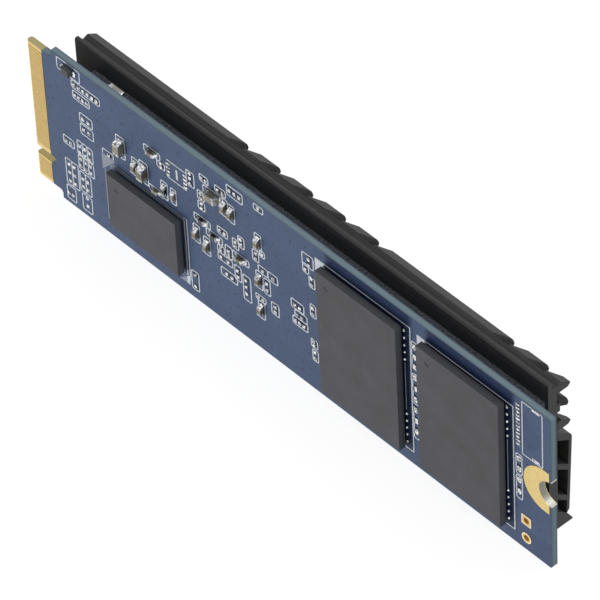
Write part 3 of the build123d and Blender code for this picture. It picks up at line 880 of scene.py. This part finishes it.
pad_columns = [
    (27.6, 16.75, 2, 0.7), (27.65, 15.3, 2, 0.7), (26.0, 18.6, 2, 0.7), (26.0, 17.4, 1, 0.6),
    (33.65, 14.25, 2, 0.75), (32.8, 13.3, 2, 0.65), (32.9, 8.95, 2, 0.9), (34.15, 7.9, 3, 1.0),
    (37.5, 10.3, 2, 1.0), (35.95, 13.8, 2, 0.8), (37.0, 14.75, 1, 0.6), (38.65, 7.75, 2, 0.75),
    (44.7, 11.9, 2, 0.9), (44.75, 16.3, 2, 0.9), (44.6, 7.0, 2, 0.65), (44.75, 5.3, 2, 0.9),
    (44.4, 18.9, 2, 0.9), (43.8, 17.5, 1, 0.6), (25.75, 2.8, 2, 1.7), (30.3, 10.2, 2, 1.0),
    (31.4, 9.7, 1, 0.6), (31.6, 11.4, 1, 0.6), (8.3, 2.3, 2, 1.2), (12.6, 12.3, 1, 0.6),
    (21.3, 16.9, 2, 0.6),
]
tall_columns = [
    (60.15, 16.5, 3, 1.45), (60.15, 11.8, 3, 1.6), (60.15, 7.0, 3, 1.6), (75.4, 12.25, 2, 1.5),
    (75.4, 9.0, 2, 1.7),
]
pillow_places = [(x, z) for middle, z, count, pitch in pad_rows for x in evenly(middle, count, pitch)]
pillow_places += [(x, z) for x, middle, count, pitch in pad_columns for z in evenly(middle, count, pitch)]
tall_places = [(x, z) for x, middle, count, pitch in tall_columns for z in evenly(middle, count, pitch)]
print(len(pillow_places) + len(tall_places), "pads in rows and columns")

# %% [markdown]
# A stamp can also stretch the pillow. Chips that were left off had narrow legs, so their pads carry thin
# fingers of solder, and the two leads of the diode stand in wider ones. The larger pads swallow the solid
# under them and rest on the board, like the few that have no solid pad at all.

# %% All the solder on the pads
finger_columns, finger_z, finger_count, finger_pitch = (22.5, 25.2), 17.15, 4, 0.55
comb_x, comb_z, comb_count, comb_pitch = 75.33, 18.05, 12, 0.52
finger_places = [(x, z) for x in finger_columns for z in evenly(finger_z, finger_count, finger_pitch)]
finger_places += [(comb_x, z) for z in evenly(comb_z, comb_count, comb_pitch)]
lead_places = [(5.9, 21.0), (7.8, 21.0)]
bare_places = [(36.05, 7.78), (36.75, 7.78), (31.6, 10.8), (30.35, 11.2)]
tall_size = Matrix.Diagonal((1.5, 1.85, 1.3, 1))
finger_size = Matrix.Diagonal((1.3, 0.62, 0.8, 1))
lead_size = Matrix.Diagonal((1.2, 1.7, 1.2, 1))
pillows = bmesh.new()
stamp(pillows, pillow_stencil, stamps_at(pillow_places, pad_face))
stamp(pillows, pillow_stencil, stamps_at(tall_places, 0, tall_size))
stamp(pillows, pillow_stencil, stamps_at(finger_places, pad_face, finger_size))
stamp(pillows, pillow_stencil, stamps_at(lead_places, pad_face, lead_size))
stamp(pillows, pillow_stencil, stamps_at(bare_places, 0))
make_piece("pad_solder", pillows, tin, smooth=True)

# %% [markdown]
# ## Painted shade round the pads
#
# Round each pad lies a thin dark plate under the bright solder: painted shade, standing in for the dark
# side of the solder's glints. Neighbours lie on different levels, like lines of ink that cross. In the
# crowded fields near the connector no plates are laid.

# %% Painted shade plates round the pads
shade_width, shade_height = 0.68, 0.008
shade_step, shade_levels = 0.002, 4
tall_stretch, crowded_end = 1.7, 10.0
pad_shade_material, tree, shader, spot = start_material(
    "painted_shade_round_pads", {"Roughness": 0.7, "Specular IOR Level": 0.1},
)
# The dark plates are painted shade round the pads.
fill(tree, shader, {"Base Color": drift(tree, spot, weave_size, "#1A2030", "#2A3246")})
plate = bmesh.new()
bmesh.ops.create_cube(plate, size=1)
bmesh.ops.translate(plate, verts=plate.verts, vec=(0, 0, 0.5))
plate_stencil = make_stencil("pad_shade_plate", plate)
shade_places = [(x, z) for x, z in pillow_places + bare_places if x > crowded_end]
pad_shades = bmesh.new()
for index, place in enumerate(shade_places):
    height = shade_height + index % shade_levels * shade_step
    shade_size = Matrix.Diagonal((shade_width, shade_width, height, 1))
    stamp(pad_shades, plate_stencil, stamps_at([place], 0, shade_size))
tall_shade = Matrix.Diagonal((shade_width, tall_stretch * shade_width, shade_height, 1))
stamp(pad_shades, plate_stencil, stamps_at(tall_places, 0, tall_shade))
make_piece("pad_shade_plates", pad_shades, pad_shade_material)

# %% [markdown]
# Beside each memory package run two short columns of round pads, left for a wider package. Solder
# stands on them as half balls. They catch the light even in the package's shadow.

# %% Half balls beside the memory packages
half_ball_radius, half_ball_squash = 0.175, 0.75
package_middles, column_reach = (52.5, 67.55), 6.18
column_middles, column_count, column_pitch = (17.25, 4.95), 5, 1.05
half_ball = bmesh.new()
bmesh.ops.create_uvsphere(half_ball, u_segments=10, v_segments=6, radius=half_ball_radius)
bmesh.ops.scale(half_ball, verts=half_ball.verts, vec=(1, 1, half_ball_squash))
keep_upper_half(half_ball)
half_ball_stencil = make_stencil("half_ball", half_ball)
columns_x = [x + side * column_reach for x in package_middles for side in (-1, 1)]
columns_z = [z for middle in column_middles for z in evenly(middle, column_count, column_pitch)]
half_balls = bmesh.new()
stamp(half_balls, half_ball_stencil, stamps_at([(x, z) for x in columns_x for z in columns_z], pad_face))
make_piece("ball_pad_solder", half_balls, tin, smooth=True)

# %% [markdown]
# ## Solder fillets
#
# At each end of a chip part molten solder climbs the metal end and sets in a hollow ramp. The stencil
# is a block one unit long: its far top edge is pulled down and the slope is cut and lowered to curve.
# Each stamp stretches it to the part and turns it away from the part's middle.

# %% One fillet
toe_height, side_draw = 0.08, 0.15
ramp = bmesh.new()
bmesh.ops.create_cube(ramp, size=1)
bmesh.ops.translate(ramp, verts=ramp.verts, vec=(0.5, 0, 0.5))
along = [edge for edge in ramp.edges if abs(edge.verts[0].co.x - edge.verts[1].co.x) > 0.5]
bmesh.ops.subdivide_edges(ramp, edges=along, cuts=3)
for vert in ramp.verts:
    if vert.co.z > 0.5:
        vert.co.z = toe_height + (1 - toe_height) * (1 - vert.co.x) ** 2
        vert.co.y *= 1 - side_draw * vert.co.x
ramp_stencil = make_stencil("solder_ramp", ramp)
print("a fillet has", len(ramp_stencil.polygons), "faces")

# %% [markdown]
# The stamps follow from the list of chip parts: two for each part, one at either end, as wide as the part
# and climbing most of its height.

# %% Fillets of the front parts
fillet_reach, fillet_climb = 0.36, 0.88


def fillet_matrices(kind, spots, upright, face, outwards):
    """Two stamps for each chip part, one at each end."""
    length, width, height = chip_sizes[kind]
    size = Matrix.Diagonal((fillet_reach, width, outwards * fillet_climb * height, 1))
    matrices = []
    for x, z in spots:
        for side in (0, 180):
            turn = Matrix.Rotation(math.radians(side + (90 if upright else 0)), 4, "Z")
            end = turn @ Vector((length / 2, 0, 0))
            matrices.append(Matrix.Translation((x + end.x, z + end.y, face)) @ turn @ size)
    return matrices


fillets = bmesh.new()
for upright, places in ((True, front_upright), (False, front_level)):
    for kind, spots in places.items():
        stamp(fillets, ramp_stencil, fillet_matrices(kind, spots, upright, 0, 1))
make_piece("solder_fillets_front", fillets, tin)

# %% [markdown]
# The rear face has its own row of chip parts under the heatsink. They are soldered in the same way,
# so the same stencil is stamped upside down from the rear face.

# %% Rear fillets
rear_level = [
    (12.9, 20.7), (24.0, 19.2), (40.6, 19.2), (43.2, 19.2), (12.9, 1.4), (27.0, 1.4), (31.0, 1.4),
]
rear_upright = [(8.0, 10.5), (8.0, 7.2), (42.3, 14.5), (42.3, 11.0), (42.3, 7.5)]
inductor_level = [(15.2, 15.4), (19.6, 15.4)]
rear_fillets = bmesh.new()
for kind, spots, upright in (
    ("rear", rear_level, False), ("rear", rear_upright, True), ("inductor", inductor_level, False),
):
    stamp(rear_fillets, ramp_stencil, fillet_matrices(kind, spots, upright, -board_thickness, -1))
make_piece("solder_fillets_rear", rear_fillets, tin)

# %% [markdown]
# ## Solder balls
#
# The packages have no legs. They stand on a grid of solder balls squashed between carrier and board.
# The plain solids hold that space with one low block for each package. Here a small sphere is stamped
# on the grid, and the balls stand for the blocks.

# %% Balls under the packages
ball_height, ball_width, ball_inset = 0.22, 0.42, 0.9
ball = bmesh.new()
bmesh.ops.create_uvsphere(ball, u_segments=8, v_segments=5, radius=0.5)
bmesh.ops.scale(ball, verts=ball.verts, vec=(ball_width, ball_width, ball_height))
ball_stencil = make_stencil("solder_ball", ball)


def ball_places(center, size, pitch):
    """Places on a square grid that fits inside a package."""
    columns, rows = (int((side - 2 * ball_inset) / pitch) + 1 for side in size)
    return [(x, z) for x in evenly(center[0], columns, pitch) for z in evenly(center[1], rows, pitch)]


memory_packages = [
    ((18.65, 6.92), (11.1, 7.8), 0.8), ((52.5, 11.0), (12.0, 18.0), 1.0),
    ((67.55, 11.0), (12.0, 18.0), 1.0),
]
rear_packages = memory_packages + [((33.5, 11.0), (13.0, 13.0), 0.8), ((10.2, 15.2), (3.0, 3.0), 0.6)]
for name, packages, lift in (
    ("solder_balls_front", memory_packages, ball_height / 2),
    ("solder_balls_rear", rear_packages, -board_thickness - ball_height / 2),
):
    balls = bmesh.new()
    for center, size, pitch in packages:
        stamp(balls, ball_stencil, stamps_at(ball_places(center, size, pitch), lift))
    piece = make_piece(name, balls, tin, smooth=True)
    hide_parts(name.replace("balls", "joints"))

# %% [markdown]
# ## Floor, world and light
#
# The photograph has a plain white ground. The world is white where it is seen or mirrored, and weaker where
# it only fills the shadows. The floor does the same: white paper that shows itself white to the camera and
# to reflections, but takes part of its light from the lamps, so the drive keeps a soft shadow.

# %% Seen white
def seen(tree):
    """1 for rays from the camera, a mirror or glass, and 0 for the light that only fills shadows."""
    path = put(tree, "ShaderNodeLightPath", {})
    mirrored = put(
        tree, "ShaderNodeMath", {0: path.outputs["Is Camera Ray"], 1: path.outputs["Is Glossy Ray"]},
        operation="MAXIMUM",
    )
    through = put(
        tree, "ShaderNodeMath", {0: mirrored, 1: path.outputs["Is Transmission Ray"]}, operation="MAXIMUM",
    )
    return through


world = bpy.data.worlds.new("white_room")
bpy.context.scene.world = world
world.use_nodes = True
tree = world.node_tree
background = tree.nodes["Background"]
room_fill = put(tree, "ShaderNodeMapRange", {"Value": seen(tree), "To Min": 0.3, "To Max": 1.0})
fill(tree, background, {"Color": (1, 1, 1, 1), "Strength": room_fill})
print("the room is white")

# %% [markdown]
# The paper is a matt surface with a glow added for the rays that see it. The floor is a large flat square,
# and it is not attached to the drive.

# %% White paper floor
paper = bpy.data.materials.new("white_paper_floor")
paper.use_nodes = True
tree = paper.node_tree
tree.nodes.remove(tree.nodes["Principled BSDF"])
matt = put(tree, "ShaderNodeBsdfDiffuse", {"Color": colour("#A4A4A4")})
shown = put(tree, "ShaderNodeMapRange", {"Value": seen(tree), "To Min": 0.0, "To Max": 0.88})
glow = put(tree, "ShaderNodeEmission", {"Color": (1, 1, 1, 1), "Strength": shown})
both = put(tree, "ShaderNodeAddShader", {0: matt, 1: glow})
fill(tree, tree.nodes["Material Output"], {"Surface": both})

floor_size = 3.0
floor_shape = bmesh.new()
bmesh.ops.create_grid(floor_shape, x_segments=1, y_segments=1, size=floor_size)
floor_mesh = bpy.data.meshes.new("floor")
floor_shape.to_mesh(floor_mesh)
floor_shape.free()
floor_mesh.materials.append(paper)
floor = bpy.data.objects.new("floor", floor_mesh)
bpy.context.scene.collection.objects.link(floor)
floor.visible_shadow = False
print("floor", 2 * floor_size, "m wide")

# %% [markdown]
# The drive was lit while it lay on its back, so the main light reaches the standing card from the left and
# from below its lower edge: the parts throw short soft shadows up and to the right. The floor lets that
# softbox through by casting no shadow itself. A second one above and behind separates the fins, and a
# weak one faces the screw end. A lamp's power is worked out from its distance, so that a level of 1 would
# light a white card facing it to full white.

# %% Softboxes
def softbox(name, place, size, level, mirrored):
    """Square soft lamp aimed at the drive, which glossy surfaces may or may not mirror."""
    away = Vector(place) - camera_aim
    lamp = bpy.data.lights.new(name, "AREA")
    lamp.shape = "SQUARE"
    lamp.size = size
    lamp.energy = level * math.pi ** 2 * away.length_squared
    holder = bpy.data.objects.new(name, lamp)
    holder.location = place
    holder.rotation_euler = away.to_track_quat("Z", "Y").to_euler()
    holder.visible_glossy = mirrored
    bpy.context.scene.collection.objects.link(holder)
    print(name, round(lamp.energy, 2), "W at", round(away.length, 2), "m")


softbox("key_softbox", (-0.36, -0.43, -0.38), size=0.22, level=0.91, mirrored=False)
softbox("top_softbox", (0.10, 0.30, 0.60), size=0.50, level=0.17, mirrored=True)
softbox("end_softbox", (0.65, -0.05, 0.20), size=0.40, level=0.11, mirrored=True)
bpy.context.scene.view_settings.view_transform = "Standard"
